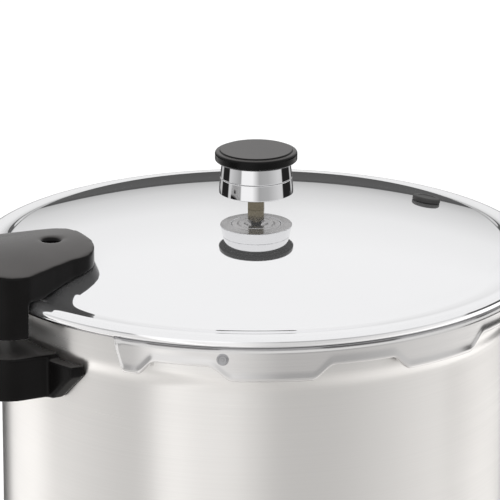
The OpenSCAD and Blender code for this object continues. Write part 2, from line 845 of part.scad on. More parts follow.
module cover_handle() {
    pocket_w = bracket_w + 2 * pocket_fit;
    color([0.07, 0.07, 0.07]) rotate([0, 0, 180]) difference() {
        intersection() {
            translate([0, 0, cover_z - grip_drop]) linear_extrude(grip_drop + crown_h) cover_handle_outline();
            crown_bar();
        }
        // room for the dome, the flange and the skirt
        intersection() {
            translate([0, 0, dome_centre_z]) sphere(dome_sphere_r + handle_clear, $fn = 720);
            cylinder(r = step_r, h = far, $fn = fine);
        }
        cylinder(r = grip_inner_r, h = cover_z + step_z, $fn = fine);
        // pocket for the bracket and its rivets
        translate([step_r - over, -pocket_w / 2, cover_z])
            cube([grip_inner_r - step_r + over, pocket_w, bracket_t + rivet_head_t + pocket_fit]);
        translate([grip_inner_r - over, -pocket_w / 2, cover_z - shank_fit])
            cube([bracket_end_r - grip_inner_r + over + pocket_fit, pocket_w, bracket_t + 2 * shank_fit]);
        // screw holes with counterbores from below
        rotate([0, 0, 180]) cover_screw_places() translate([0, 0, cover_z - grip_drop - over]) {
            cylinder(r = screw_d / 2 + shank_fit, h = over + grip_drop + screw_in, $fn = round_fn);
            cylinder(r = screw_head_d / 2 + shank_fit, h = over + screw_sink, $fn = round_fn);
        }
        // hole above the lock pin, with a countersink
        translate([lock_place_r, 0, cover_z]) cylinder(d = lock_hole_d, h = far, $fn = round_fn);
        translate([lock_place_r, 0, cover_z + crown_h - lock_sink_h])
            cylinder(d1 = lock_hole_d, d2 = lock_sink_d, h = lock_sink_h, $fn = round_fn);
    }
}

module cover_handle_screws() {
    head_z = cover_z - grip_drop + screw_sink - screw_head_h;
    color([0.72, 0.72, 0.74]) cover_screw_places() {
        translate([0, 0, head_z]) cylinder(d = screw_head_d, h = screw_head_h - shank_fit, $fn = round_fn);
        translate([0, 0, head_z])
            cylinder(d = screw_d, h = cover_z + screw_in - screw_end_gap - head_z, $fn = round_fn);
    }
}

canner_body();
body_bracket_left();
body_bracket_right();
body_bracket_rivets();
body_handle_left();
body_handle_right();
body_handle_screws();
canning_rack();
sealing_ring();
cover();
stop_rivets();
overpressure_plug();
vent_pipe();
vent_pipe_nut();
lower_weight_ring();
upper_weight_ring();
regulator_core();
regulator_cap();
cover_lock_bushing();
cover_lock_nut();
cover_lock_pin();
cover_lock_gasket();
cover_bracket();
cover_bracket_rivets();
cover_handle();
cover_handle_screws();
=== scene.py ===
"""Pressure canner: polished bayonet cover on a satin aluminium pot, black moulded handles and a
weighted regulator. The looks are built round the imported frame, and start from its nodes' places."""

import json
import math

import bmesh
import bpy
import numpy as np
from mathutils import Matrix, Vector


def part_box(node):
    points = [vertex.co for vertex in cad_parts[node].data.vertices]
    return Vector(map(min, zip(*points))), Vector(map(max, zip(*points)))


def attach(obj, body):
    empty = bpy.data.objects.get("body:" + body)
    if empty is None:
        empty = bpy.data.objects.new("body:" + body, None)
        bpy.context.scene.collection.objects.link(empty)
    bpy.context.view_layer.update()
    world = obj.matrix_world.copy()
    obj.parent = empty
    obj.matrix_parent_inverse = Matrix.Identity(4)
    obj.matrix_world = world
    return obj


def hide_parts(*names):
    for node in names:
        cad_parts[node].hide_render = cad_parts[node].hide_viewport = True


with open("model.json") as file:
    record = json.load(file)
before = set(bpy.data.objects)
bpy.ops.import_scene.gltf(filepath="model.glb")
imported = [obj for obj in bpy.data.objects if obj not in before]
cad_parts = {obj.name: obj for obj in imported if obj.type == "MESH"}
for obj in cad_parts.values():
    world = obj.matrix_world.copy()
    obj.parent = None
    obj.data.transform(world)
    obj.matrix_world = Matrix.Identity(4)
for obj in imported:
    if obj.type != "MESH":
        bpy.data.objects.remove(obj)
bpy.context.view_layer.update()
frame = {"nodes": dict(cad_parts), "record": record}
MM = 0.001

# ------------------------------------------------------------------ places taken from the frame, in mm


def extent(node):
    """Lowest and highest corner of a node, in mm."""
    low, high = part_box(node)
    return np.array(low) / MM, np.array(high) / MM


cover_low, cover_high = extent("cover")
pot_high = extent("canner_body")[1]
# the flange's drop under the dome's top, then the groove's under the flange and the width of the painted
# shade line laid in it
FLANGE_DROP = 23.9
GROOVE_DROP = 7.9
GROOVE_SHADE_WIDTH = 1.3
DOME_TOP = cover_high[2]
FLANGE_Z = DOME_TOP - FLANGE_DROP
HOOK_Z = cover_low[2]
BEAD_OUT = cover_high[0]
RIM_R = pot_high[0]
LUG_R = pot_high[1]
POT_TOP = pot_high[2]

# ------------------------------------------------------------------ camera

# where the camera stands round the canner, how far from the flange's middle (m), how high over
# it and how far to the left (m); the pitch is how far it looks down
VIEW_TURN = math.radians(244)
VIEW_DISTANCE = 2.741
VIEW_HEIGHT = math.radians(17.37)
VIEW_PITCH = math.radians(17.41)
VIEW_SIDE = 0.00365
LENS_MM = 331
SENSOR_MM = 36
FARTHEST_SEEN = 60
toward_camera = Vector((math.cos(VIEW_TURN), math.sin(VIEW_TURN), 0))
to_the_right = Vector((-math.sin(VIEW_TURN), math.cos(VIEW_TURN), 0))
UP = Vector((0, 0, 1))


def build_camera():
    """A long lens looking down on the cover from the handle side."""
    lens = bpy.data.cameras.new("camera")
    lens.lens = LENS_MM
    lens.sensor_width = SENSOR_MM
    lens.clip_end = FARTHEST_SEEN
    camera = bpy.data.objects.new("camera", lens)
    bpy.context.scene.collection.objects.link(camera)
    target = Vector((0, 0, FLANGE_Z * MM))
    arm = toward_camera * math.cos(VIEW_HEIGHT) + UP * math.sin(VIEW_HEIGHT)
    camera.location = target + VIEW_DISTANCE * arm - VIEW_SIDE * to_the_right
    look = -toward_camera * math.cos(VIEW_PITCH) - UP * math.sin(VIEW_PITCH)
    camera.rotation_euler = look.to_track_quat("-Z", "Y").to_euler()
    bpy.context.scene.camera = camera


build_camera()

# ------------------------------------------------------------------ node helpers


def add(tree, kind, **settings):
    """A shader node with its properties set."""
    node = tree.nodes.new(kind)
    for key, value in settings.items():
        setattr(node, key, value)
    return node


def feed(tree, socket, value):
    """Links an output, or sets a plain value, on an input socket."""
    if isinstance(value, bpy.types.NodeSocket):
        tree.links.new(value, socket)
    else:
        socket.default_value = value


def maths(tree, operation, *values):
    """One Math node and its result."""
    node = add(tree, "ShaderNodeMath", operation=operation)
    for socket, value in zip(node.inputs, values):
        feed(tree, socket, value)
    return node.outputs[0]


def dot(tree, vector, fixed):
    """The dot product of a vector output with a fixed vector."""
    node = add(tree, "ShaderNodeVectorMath", operation="DOT_PRODUCT")
    feed(tree, node.inputs[0], vector)
    node.inputs[1].default_value = tuple(fixed)
    return node.outputs["Value"]


def remap(tree, value, low, high, to_low, to_high, smooth=False):
    """Maps a value from one range to another, held at both ends."""
    node = add(tree, "ShaderNodeMapRange")
    node.interpolation_type = "SMOOTHSTEP" if smooth else "LINEAR"
    for socket, given in zip(node.inputs, (value, low, high, to_low, to_high)):
        feed(tree, socket, given)
    return node.outputs[0]


def blend(tree, share, first, second):
    """Mixes two colours or values by a share."""
    node = add(tree, "ShaderNodeMix", data_type="RGBA")
    feed(tree, node.inputs[0], share)
    feed(tree, node.inputs[6], first)
    feed(tree, node.inputs[7], second)
    return node.outputs[2]


def grey(value, warm=0.0):
    """A grey as a colour, warmed a little if asked."""
    return (value * (1 + warm), value, value * (1 - warm), 1)


def graded(tree, factor, stops, warm=0.0):
    """A colour ramp through (place, value) stops."""
    node = add(tree, "ShaderNodeValToRGB")
    ramp = node.color_ramp
    ramp.elements[0].position, ramp.elements[0].color = stops[0][0], grey(stops[0][1], warm)
    ramp.elements[1].position, ramp.elements[1].color = stops[-1][0], grey(stops[-1][1], warm)
    for place, value in stops[1:-1]:
        ramp.elements.new(place).color = grey(value, warm)
    feed(tree, node.inputs[0], factor)
    return node.outputs[0]


# ------------------------------------------------------------------ studio

# the walls round the canner, as (degrees round from the camera, brightness): a wide window at
# each side, one narrow strip light on the left, and between them a grey wall, darker to the right
LOW_WALLS = [
    (-180, 0.95), (-120, 1.7), (-95, 0.95), (-50, 0.75), (-40, 1.3), (-26, 0.95), (-10, 0.95),
    (10, 0.68), (35, 0.68), (85, 0.95), (120, 1.45), (180, 0.95),
]
# higher up the windows have black flags, and the grey wall goes on between them
FLAG = 0.02
HIGH_WALLS = [
    (-133, 0.6), (-129, FLAG), (-97, FLAG), (-93, 0.75), (-50, 0.4), (-46, 1.1), (-12, 1.1),
    (10, 0.45), (38, 0.5), (75, 0.75), (89, 0.75), (92, FLAG), (133, FLAG), (137, 0.6),
]
# the far side by height: a dark base to just over the horizon, then a wall that brightens upwards
FAR_SIDE = [(0.0, 0.075), (0.062, 0.045), (0.075, 0.47), (0.25, 0.65), (0.6, 0.87), (1.0, 0.95)]
# the low walls' warmth, the ceiling's brightness, and that of the light on matt surfaces
WALL_WARMTH = 0.012
CEILING = 0.93
MATT_LIGHT = 1.12
# heights, as the upward part of a ray's direction, over which one thing passes into another:
# low walls into high ones, high walls into the ceiling, and the span of the far side's list
WALL_SPLIT = (-0.27, -0.235)
CEILING_EDGE = (0.02, 0.09)
FAR_SPAN = (-0.02, 0.5)
# the far side starts further round for low rays than for high ones, with a soft edge (radians)
FAR_HEIGHTS = (-0.2, -0.1)
FAR_STARTS = (math.radians(148), math.radians(127))
FAR_BLUR = 0.07


def turned_ramp(tree, turn, stops, warm=0.0):
    """A ramp over a full turn, given in degrees from -180 to 180."""
    factor = remap(tree, turn, -math.pi, math.pi, 0, 1)
    return graded(tree, factor, [((degrees + 180) / 360, value) for degrees, value in stops], warm)


def build_studio():
    """White surroundings for the eye and soft light for matt surfaces; polished metal sees the
    studio's grey walls, its dark far floor and its bright ceiling."""
    world = bpy.data.worlds.new("studio")
    bpy.context.scene.world = world
    world.use_nodes = True
    tree = world.node_tree
    tree.nodes.clear()
    ray = add(tree, "ShaderNodeTexCoord").outputs["Generated"]
    side = dot(tree, ray, to_the_right)
    front = dot(tree, ray, toward_camera)
    height = dot(tree, ray, UP)
    turn = maths(tree, "ARCTAN2", side, front)
    far_edge = remap(tree, height, *FAR_HEIGHTS, *FAR_STARTS, True)
    past_edge = maths(tree, "SUBTRACT", maths(tree, "ABSOLUTE", turn), far_edge)
    behind = remap(tree, past_edge, -FAR_BLUR, FAR_BLUR, 0, 1, True)
    low = turned_ramp(tree, turn, LOW_WALLS, WALL_WARMTH)
    high = turned_ramp(tree, turn, HIGH_WALLS)
    walls = blend(tree, remap(tree, height, *WALL_SPLIT, 0, 1, True), low, high)
    around = blend(tree, remap(tree, height, *CEILING_EDGE, 0, 1, True), walls, grey(CEILING))
    far_wall = graded(tree, remap(tree, height, *FAR_SPAN, 0, 1), FAR_SIDE)
    polished_sees = blend(tree, behind, around, far_wall)
    kind = add(tree, "ShaderNodeLightPath").outputs
    shown = add(tree, "ShaderNodeBackground")
    shown.inputs[0].default_value = grey(1)
    soft = add(tree, "ShaderNodeBackground")
    soft.inputs[0].default_value = grey(MATT_LIGHT)
    mirrored = add(tree, "ShaderNodeBackground")
    tree.links.new(polished_sees, mirrored.inputs[0])
    first = add(tree, "ShaderNodeMixShader")
    tree.links.new(kind["Is Glossy Ray"], first.inputs[0])
    tree.links.new(soft.outputs[0], first.inputs[1])
    tree.links.new(mirrored.outputs[0], first.inputs[2])
    second = add(tree, "ShaderNodeMixShader")
    tree.links.new(kind["Is Camera Ray"], second.inputs[0])
    tree.links.new(first.outputs[0], second.inputs[1])
    tree.links.new(shown.outputs[0], second.inputs[2])
    tree.links.new(second.outputs[0], add(tree, "ShaderNodeOutputWorld").inputs[0])


# the lamp in metres and watts: its height, its places towards the camera and to the left
LAMP_SIZE = 1.6
LAMP_POWER = 9
LAMP_HEIGHT = 1.9
LAMP_FORWARD = 0.5
LAMP_LEFT = 0.7
LAMP_AIM_HEIGHT = 0.2


def build_lamp():
    """One wide soft lamp overhead, unseen in the polished metal."""
    lamp = bpy.data.lights.new("overhead_lamp", "AREA")
    lamp.size = LAMP_SIZE
    lamp.energy = LAMP_POWER
    holder = bpy.data.objects.new("overhead_lamp", lamp)
    bpy.context.scene.collection.objects.link(holder)
    holder.location = UP * LAMP_HEIGHT + LAMP_FORWARD * toward_camera - LAMP_LEFT * to_the_right
    aim = UP * LAMP_AIM_HEIGHT - holder.location
    holder.rotation_euler = aim.to_track_quat("-Z", "Y").to_euler()
    holder.visible_glossy = False


build_studio()
build_lamp()
bpy.context.scene.view_settings.view_transform = "Standard"

# ------------------------------------------------------------------ shared effects

# the middle of a noise's range, which is spread over 0 to 1
NOISE_MIDDLE = (0.3, 0.7)


def effect_group(name, build, inputs, outputs):
    """A shader node group with named inputs and outputs."""
    group = bpy.data.node_groups.new(name, "ShaderNodeTree")
    for label, kind, value in inputs:
        socket = group.interface.new_socket(label, in_out="INPUT", socket_type=kind)
        socket.default_value = value
    for label, kind in outputs:
        group.interface.new_socket(label, in_out="OUTPUT", socket_type=kind)
    given = add(group, "NodeGroupInput").outputs
    results = build(group, given)
    end = add(group, "NodeGroupOutput")
    for socket, result in zip(end.inputs, results):
        group.links.new(result, socket)
    return group


def stretched_noise(group, given):
    """Noise on object coordinates, stretched by the Scale input, brought to a 0 to 1 mask."""
    mapping = add(group, "ShaderNodeMapping")
    group.links.new(add(group, "ShaderNodeTexCoord").outputs["Object"], mapping.inputs["Vector"])
    group.links.new(given["Scale"], mapping.inputs["Scale"])
    noise = add(group, "ShaderNodeTexNoise")
    group.links.new(mapping.outputs[0], noise.inputs["Vector"])
    group.links.new(given["Detail"], noise.inputs["Detail"])
    noise.inputs["Scale"].default_value = 1
    return [remap(group, noise.outputs[0], *NOISE_MIDDLE, 0, 1)]


def spun_rings(group, given):
    """Fine rings round the vertical axis: noise along the distance from the axis."""
    coordinates = add(group, "ShaderNodeTexCoord").outputs["Object"]
    flat = add(group, "ShaderNodeVectorMath", operation="MULTIPLY")
    group.links.new(coordinates, flat.inputs[0])
    flat.inputs[1].default_value = (1, 1, 0)
    reach = add(group, "ShaderNodeVectorMath", operation="LENGTH")
    group.links.new(flat.outputs[0], reach.inputs[0])
    noise = add(group, "ShaderNodeTexNoise", noise_dimensions="1D")
    group.links.new(maths(group, "MULTIPLY", reach.outputs["Value"], given["Per metre"]), noise.inputs["W"])
    noise.inputs["Scale"].default_value = 1
    noise.inputs["Detail"].default_value = 4
    return [remap(group, noise.outputs[0], *NOISE_MIDDLE, 0, 1)]


GRAIN = effect_group(
    "stretched_grain", stretched_noise,
    [("Scale", "NodeSocketVector", (100, 100, 100)), ("Detail", "NodeSocketFloat", 4)],
    [("Mask", "NodeSocketFloat")],
)
RINGS = effect_group(
    "spun_rings", spun_rings,
    [("Per metre", "NodeSocketFloat", 900)],
    [("Mask", "NodeSocketFloat")],
)


def grain(tree, scale, detail=4):
    """The stretched grain's mask at a given scale per metre."""
    node = add(tree, "ShaderNodeGroup", node_tree=GRAIN)
    node.inputs["Scale"].default_value = scale
    node.inputs["Detail"].default_value = detail
    return node.outputs[0]


def rings(tree, per_metre):
    """The spun rings' mask."""
    node = add(tree, "ShaderNodeGroup", node_tree=RINGS)
    node.inputs["Per metre"].default_value = per_metre
    return node.outputs[0]


def bump(tree, height, distance, strength):
    """A bump from a height mask, its depth in metres."""
    node = add(tree, "ShaderNodeBump")
    node.inputs["Strength"].default_value = strength
    node.inputs["Distance"].default_value = distance
    feed(tree, node.inputs["Height"], height)
    return node.outputs[0]


def finish(name, metallic, **sockets):
    """A material with one Principled shader; the caller wires its changing inputs."""
    material = bpy.data.materials.new(name)
    material.use_nodes = True
    tree = material.node_tree
    shader = tree.nodes["Principled BSDF"]
    shader.inputs["Metallic"].default_value = metallic
    for label, value in sockets.items():
        shader.inputs[label.replace("_", " ")].default_value = value
    return material, tree, shader.inputs


# metal's grain against its large soft clouding, and the clouding's scale per metre
GRAIN_SHARE = 0.7
CLOUD_SCALE = (14, 14, 14)
# painted sheen on plastic that faces up, a lighter top standing in for the light it reflects; painted shade
# in the cover's groove; and the most that each covers
PAINTED_SHEEN_COLOUR = (0.095, 0.09, 0.088, 1)
MOST_PAINTED_SHEEN = 0.75
GROOVE_SHADE_COLOUR = (0.16, 0.16, 0.17, 1)
MOST_GROOVE_SHADE = 0.7


def metal(name, colour, shade, rough, grain_scale, depth, spin=0.0, metallic=1.0, **sockets):
    """Metal whose colour varies by shade and whose roughness runs between two values with the
    grain; spin adds rings per metre round the axis."""
    material, tree, inputs = finish(name, metallic, **sockets)
    streaks = grain(tree, grain_scale)
    cloud = grain(tree, CLOUD_SCALE, 3)
    marks = streaks
    if spin:
        marks = maths(tree, "MULTIPLY", maths(tree, "ADD", streaks, rings(tree, spin)), 0.5)
    both = maths(
        tree, "ADD", maths(tree, "MULTIPLY", marks, GRAIN_SHARE),
        maths(tree, "MULTIPLY", cloud, 1 - GRAIN_SHARE))
    dark = tuple(part * (1 - shade) for part in colour)
    feed(tree, inputs["Base Color"], blend(tree, both, (*dark, 1), (*colour, 1)))
    feed(tree, inputs["Roughness"], remap(tree, both, 0, 1, rough[1], rough[0]))
    feed(tree, inputs["Normal"], bump(tree, marks, depth, 0.5))
    return material


def moulded_plastic(name, colour, rough, skin_depth, bloom):
    """Black moulded plastic: faint mottling, handling marks in the gloss, a fine moulded skin and a
    painted sheen on what faces up, a lighter top that stands in for the light it reflects."""
    material, tree, inputs = finish(
        name, 0.0, Specular_IOR_Level=0.11, Sheen_Weight=bloom, Sheen_Roughness=0.16)
    mottling = grain(tree, (60, 60, 60), 5)
    handling = grain(tree, (18, 18, 26), 3)
    skin = grain(tree, (1500, 1500, 1500), 2)
    light = tuple(part * 1.5 for part in colour)
    plain = blend(tree, mottling, (*colour, 1), (*light, 1))
    facing_up = dot(tree, add(tree, "ShaderNodeNewGeometry").outputs["Normal"], UP)
    uneven = maths(tree, "ADD", 0.7, maths(tree, "MULTIPLY", handling, 0.3))
    # painted sheen: faces that look up are lightened towards a grey, standing in for the light the top
    # reflects; the handling marks make it uneven
    painted_top_sheen = maths(tree, "MULTIPLY", remap(tree, facing_up, 0.6, 1, 0, MOST_PAINTED_SHEEN, True), uneven)
    feed(tree, inputs["Base Color"], blend(tree, painted_top_sheen, plain, PAINTED_SHEEN_COLOUR))
    feed(tree, inputs["Roughness"], remap(tree, handling, 0, 1, rough[0], rough[1]))
    feed(tree, inputs["Normal"], bump(tree, skin, skin_depth, 0.3))
    return material


def rubber(name, colour):
    """Matt black rubber with a dusty bloom."""
    material, tree, inputs = finish(name, 0.0, Specular_IOR_Level=0.4)
    bloom = grain(tree, (90, 90, 90), 5)
    grit = grain(tree, (2200, 2200, 2200), 2)
    dusty = tuple(part * 1.6 + 0.008 for part in colour)
    feed(tree, inputs["Base Color"], blend(tree, bloom, (*colour, 1), (*dusty, 1)))
    feed(tree, inputs["Roughness"], remap(tree, bloom, 0, 1, 0.42, 0.62))
    feed(tree, inputs["Normal"], bump(tree, grit, 0.00004, 0.4))
    return material


def brushed_round(name, colour, shade, rough, anisotropic):
    """Satin aluminium brushed round the vertical axis: its glints spread up and down. A dark line of
    painted shade is laid by height in the groove under the cover's bead, standing in for the shadow there."""
    material = metal(
        name, colour, shade, rough, (7, 7, 1500), 0.0000015,
        Anisotropic=anisotropic, Anisotropic_Rotation=0.25,
    )
    tree = material.node_tree
    inputs = tree.nodes["Principled BSDF"].inputs
    clean = inputs["Base Color"].links[0].from_socket
    point = add(tree, "ShaderNodeTexCoord").outputs["Object"]
    height = maths(tree, "MULTIPLY", dot(tree, point, UP), 1 / MM)
    off_groove = maths(tree, "ABSOLUTE", maths(tree, "SUBTRACT", height, FLANGE_Z - GROOVE_DROP))
    # painted shade: the groove's height band is darkened towards the shade colour, standing in for the
    # shadow under the bead
    painted_groove_shade = remap(tree, off_groove, GROOVE_SHADE_WIDTH * 0.4, GROOVE_SHADE_WIDTH, MOST_GROOVE_SHADE, 0, True)
    feed(tree, inputs["Base Color"], blend(tree, painted_groove_shade, clean, GROOVE_SHADE_COLOUR))
    tangent = add(tree, "ShaderNodeTangent", direction_type="RADIAL", axis="Z")
    tree.links.new(tangent.outputs[0], inputs["Tangent"])
    return material


MATERIALS = {
    "polished_aluminium": metal(
        "polished_aluminium", (0.90, 0.90, 0.91), 0.012, (0.022, 0.034), (30, 30, 30), 0.000001, 2600,
        metallic=0.94),
    "satin_skirt": brushed_round("satin_skirt", (0.715, 0.705, 0.70), 0.04, (0.15, 0.21), 0.5),
    "satin_wall": brushed_round("satin_wall", (0.815, 0.80, 0.782), 0.035, (0.27, 0.35), 0.7),
    "bracket_steel": metal(
        "bracket_steel", (0.58, 0.58, 0.60), 0.25, (0.30, 0.45), (40, 900, 900), 0.00001),
    "rivet_aluminium": metal(
        "rivet_aluminium", (0.46, 0.46, 0.47), 0.25, (0.20, 0.32), (300, 300, 300), 0.00001),
    "rack_aluminium": metal(
        "rack_aluminium", (0.78, 0.78, 0.79), 0.14, (0.28, 0.42), (24, 1200, 24), 0.00001),
    "handle_phenolic": moulded_plastic(
        "handle_phenolic", (0.003, 0.0027, 0.0027), (0.19, 0.26), 0.000012, 0.7),
    "cap_plastic": moulded_plastic("cap_plastic", (0.003, 0.003, 0.003), (0.19, 0.26), 0.00001, 0.5),
    "screw_steel": metal("screw_steel", (0.68, 0.68, 0.70), 0.18, (0.25, 0.4), (400, 400, 60), 0.00001),
    "seal_rubber": rubber("seal_rubber", (0.022, 0.022, 0.022)),
    "plug_rubber": rubber("plug_rubber", (0.018, 0.0175, 0.0175)),
    "vent_brass": metal("vent_brass", (0.21, 0.185, 0.135), 0.25, (0.16, 0.26), (900, 900, 1400), 0.000004),
    "weight_chrome": metal(
        "weight_chrome", (0.80, 0.80, 0.81), 0.02, (0.02, 0.04), (60, 60, 60), 0.000001, 3000),
    "turned_face": metal("turned_face", (0.56, 0.55, 0.54), 0.4, (0.14, 0.24), (90, 90, 90), 0.00002, 1500),
    "core_steel": metal("core_steel", (0.60, 0.59, 0.58), 0.35, (0.12, 0.22), (90, 90, 90), 0.00002, 1500),
    "lock_steel": metal("lock_steel", (0.64, 0.64, 0.66), 0.2, (0.2, 0.34), (300, 300, 900), 0.00001),
}

# each node takes the finish named by its slot; the two aluminiums have finishes of their own
for part in frame["record"]["subparts"]:
    node = frame["nodes"][part["node"]]
    slot = part["material_slot"]
    wanted = {"pot_aluminium": "satin_wall", "cover_aluminium": "polished_aluminium"}.get(slot, slot)
    node.data.materials.clear()
    node.data.materials.append(MATERIALS[wanted])

# ------------------------------------------------------------------ mesh helpers

# points closer than this, in metres, are one point
MERGE_DISTANCE = 2e-7
# a fillet's extra point: how far along, as a share of the fillet, and how long a straight must be
HOLD_SHARE = 0.25
ROOM_NEEDED = 2.6


def shade_smooth(mesh):
    """Marks every face of a mesh as smooth."""
    mesh.polygons.foreach_set("use_smooth", np.ones(len(mesh.polygons), dtype=bool))


def spun(rows, turns):
    """Points from (radius, height) rows, each row stood at its own angle round the axis."""
    turns = turns[:, None]
    return np.stack(
        [rows[..., 0] * np.cos(turns), rows[..., 0] * np.sin(turns), rows[..., 1]], axis=-1)


def repeated(profile, count):
    """The same profile as a number of rows."""
    return np.broadcast_to(profile, (count, *profile.shape))


def net_object(name, grid, closed_across=False, across_materials=None, unit=MM):
    """A mesh from a grid of points, first axis round the piece and joined to itself. The second
    axis is the profile, also joined if closed_across. Coincident points are merged, so a profile
    that ends on the axis closes in a pole, and the faces are turned outwards."""
    around, across = grid.shape[:2]
    steps = across if closed_across else across - 1
    i = np.arange(around)[:, None]
    j = np.arange(steps)[None, :]
    i_next = (i + 1) % around
    j_next = (j + 1) % across
    quads = np.stack(
        [i * across + j, i_next * across + j, i_next * across + j_next, i * across + j_next], axis=-1
    ).reshape(-1, 4)
    mesh = bpy.data.meshes.new(name)
    mesh.from_pydata((grid.reshape(-1, 3) * unit).tolist(), [], quads.tolist())
    if across_materials is not None:
        per_face = np.broadcast_to(np.asarray(across_materials)[None, :steps], (around, steps))
        mesh.polygons.foreach_set("material_index", per_face.ravel().astype(np.int32))
    work = bmesh.new()
    work.from_mesh(mesh)
    bmesh.ops.remove_doubles(work, verts=work.verts, dist=MERGE_DISTANCE)
    bmesh.ops.recalc_face_normals(work, faces=work.faces)
    work.to_mesh(mesh)
    work.free()
    shade_smooth(mesh)
    piece = bpy.data.objects.new(name, mesh)
    bpy.context.scene.collection.objects.link(piece)
    return piece


def filleted(corners, closed=False, arc_steps=5):
    """A profile through (radius, height, fillet) corners. An arc meets its straights at a run from
    the corner: the fillet's radius divided by the tangent of half the corner's angle. Where a
    straight is long enough, one more point a little way along it keeps the flat flat."""
    places = np.array([corner[:2] for corner in corners], float)
    count = len(corners)
    out = []
    for k, here in enumerate(places):
        fillet = corners[k][2]
        at_end = not closed and k in (0, count - 1)
        if fillet == 0 or at_end:
            out.append(here)
            continue
        back = places[k - 1] - here
        ahead = places[(k + 1) % count] - here
        back_length, ahead_length = np.linalg.norm(back), np.linalg.norm(ahead)
        back, ahead = back / back_length, ahead / ahead_length
        half = math.acos(np.clip(back @ ahead, -1, 1)) / 2
        run = fillet / math.tan(half)
        middle = (back + ahead) / np.linalg.norm(back + ahead)
        centre = here + middle * fillet / math.sin(half)
        start, end = here + back * run - centre, here + ahead * run - centre
        sweep = math.acos(np.clip(start @ end / fillet**2, -1, 1))
        hold = HOLD_SHARE * fillet
        if back_length > ROOM_NEEDED * run:
            out.append(here + back * (run + hold))
        for share in np.linspace(0, 1, arc_steps):
            weights = np.sin((1 - share) * sweep), np.sin(share * sweep)
            out.append(centre + (weights[0] * start + weights[1] * end) / math.sin(sweep))
        if ahead_length > ROOM_NEEDED * run:
            out.append(here + ahead * (run + hold))
    return np.array(out)


def turned(name, profile, count=128, closed=False, materials=None):
    """A profile of (radius, height) points turned about the vertical axis."""
    turns = np.linspace(0, 2 * math.pi, count, endpoint=False)
    return net_object(name, spun(repeated(profile, count), turns), closed, materials)


def place(piece, body, slot, node, *materials):
    """Gives a piece its body and its finishes, and hides the node that it stands for. The slot is not used.
    """
    for name in materials:
        piece.data.materials.append(MATERIALS[name])
    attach(piece, body)
    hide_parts(node)


def smoothstep(value):
    """Zero below 0, one above 1, and 3v^2 - 2v^3 between."""
    held = np.clip(value, 0, 1)
    return held * held * (3 - 2 * held)


def refined_turns(marks, coarse, fine, reach):
    """Angles in degrees round a full turn: even coarse steps, and finer ones near each mark."""
    near = [np.arange(mark - reach, mark + reach, fine) % 360 for mark in marks]
    return np.unique(np.round(np.concatenate([np.arange(0, 360, coarse), *near]), 4))


# ------------------------------------------------------------------ floor

# how far the floor's rings reach, in metres, from the first ring to the edge
FLOOR_RINGS = (0.1, 14)


def build_floor():
    """A pale, flat, round floor whose net of rings reaches far past the view."""
    turns = np.linspace(0, 2 * math.pi, 96, endpoint=False)
    reach = np.concatenate([[0.0], np.geomspace(*FLOOR_RINGS, 24)])
    profile = np.stack([reach, np.zeros_like(reach)], axis=-1)
    floor = net_object("floor", spun(repeated(profile, len(turns)), turns), unit=1)
    material, tree, inputs = finish("pale_floor", 0.0, Specular_IOR_Level=0.0, Roughness=0.9)
    feed(tree, inputs["Base Color"], blend(tree, grain(tree, (3, 3, 3), 3), grey(0.93), grey(0.95)))
    floor.data.materials.append(material)
    floor.visible_glossy = False


# ------------------------------------------------------------------ cover

# the dome is a part of a sphere; radii and heights in mm
DOME_H = 19.8
DOME_EDGE_R = BEAD_OUT - 21.75
DOME_SPHERE_R = (DOME_EDGE_R**2 + DOME_H**2) / (2 * DOME_H)
# between dome and bead: the slope's upper end and foot, each with its tilt, and the ledge's start
SLOPE_OUT = 0.9
SLOPE_DROP = 0.42
SLOPE_TILT = -0.66
SLOPE_FOOT = (158.2, FLANGE_Z - 0.15)
SLOPE_FOOT_TILT = -0.02
LEDGE_START = (160.0, FLANGE_Z - 0.16)
# the bead: its radius, the radius at which its middle stands, and the degrees its arc runs over
BEAD_R = 4.2
BEAD_X = BEAD_OUT - BEAD_R
BEAD_ARC = (82, -30)
COVER_T = 2.8
SKIRT_OUT = BEAD_OUT - 0.6
SKIRT_IN = SKIRT_OUT - COVER_T
HOOK_IN = SKIRT_IN - 3.9
# the groove under the bead: depth, half width, middle, and where the bead's own curve ends
GROOVE_DEPTH = 1.9
GROOVE_HALF_W = 1.1
GROOVE_MIDDLE = GROOVE_DROP + 0.3
BEAD_END = 6.6
BEAD_UNDERCUT = 0.2
# drops of the skirt's edge under the flange: at the notches, in the gaps and at the tabs
NOTCH_DROP = 19.0
GAP_DROP = 2 * BEAD_R
TAB_DROP = FLANGE_Z - HOOK_Z
# the lip along the edge: how far it stands out, at what height over the edge, and how wide it is
LIP_PROUD = 0.42
LIP_RISE = 1.2
LIP_WIDTH = 3.0
# rounding at the edge's outside, what a hook adds to it, and rounding at the inside
EDGE_ROUND = 1.1
HOOK_ROUND = 1.3
INNER_ROUND = 0.55
# edges of the bayonet tabs: angle, change of drop, change of hook, half width of the curve
TAB_EDGES = [
    (216, TAB_DROP - GAP_DROP, 1, 1.4), (222, NOTCH_DROP - TAB_DROP, -1, 1.9),
    (237, TAB_DROP - NOTCH_DROP, 1, 2.6), (257, NOTCH_DROP - TAB_DROP, -1, 2.3),
    (273.5, TAB_DROP - NOTCH_DROP, 1, 2.2), (293, NOTCH_DROP - TAB_DROP, -1, 2.2),
    (312, TAB_DROP - NOTCH_DROP, 1, 2.2), (324, GAP_DROP - TAB_DROP, -1, 1.4),
]


def dome_height(r, thickness=0.0):
    """Height of the dome at radius r: the sphere's middle plus the root of its radius squared
    less r squared. A thickness gives the dome's underside."""
    radius = DOME_SPHERE_R - thickness
    return DOME_TOP - DOME_SPHERE_R + np.sqrt(radius**2 - r**2)


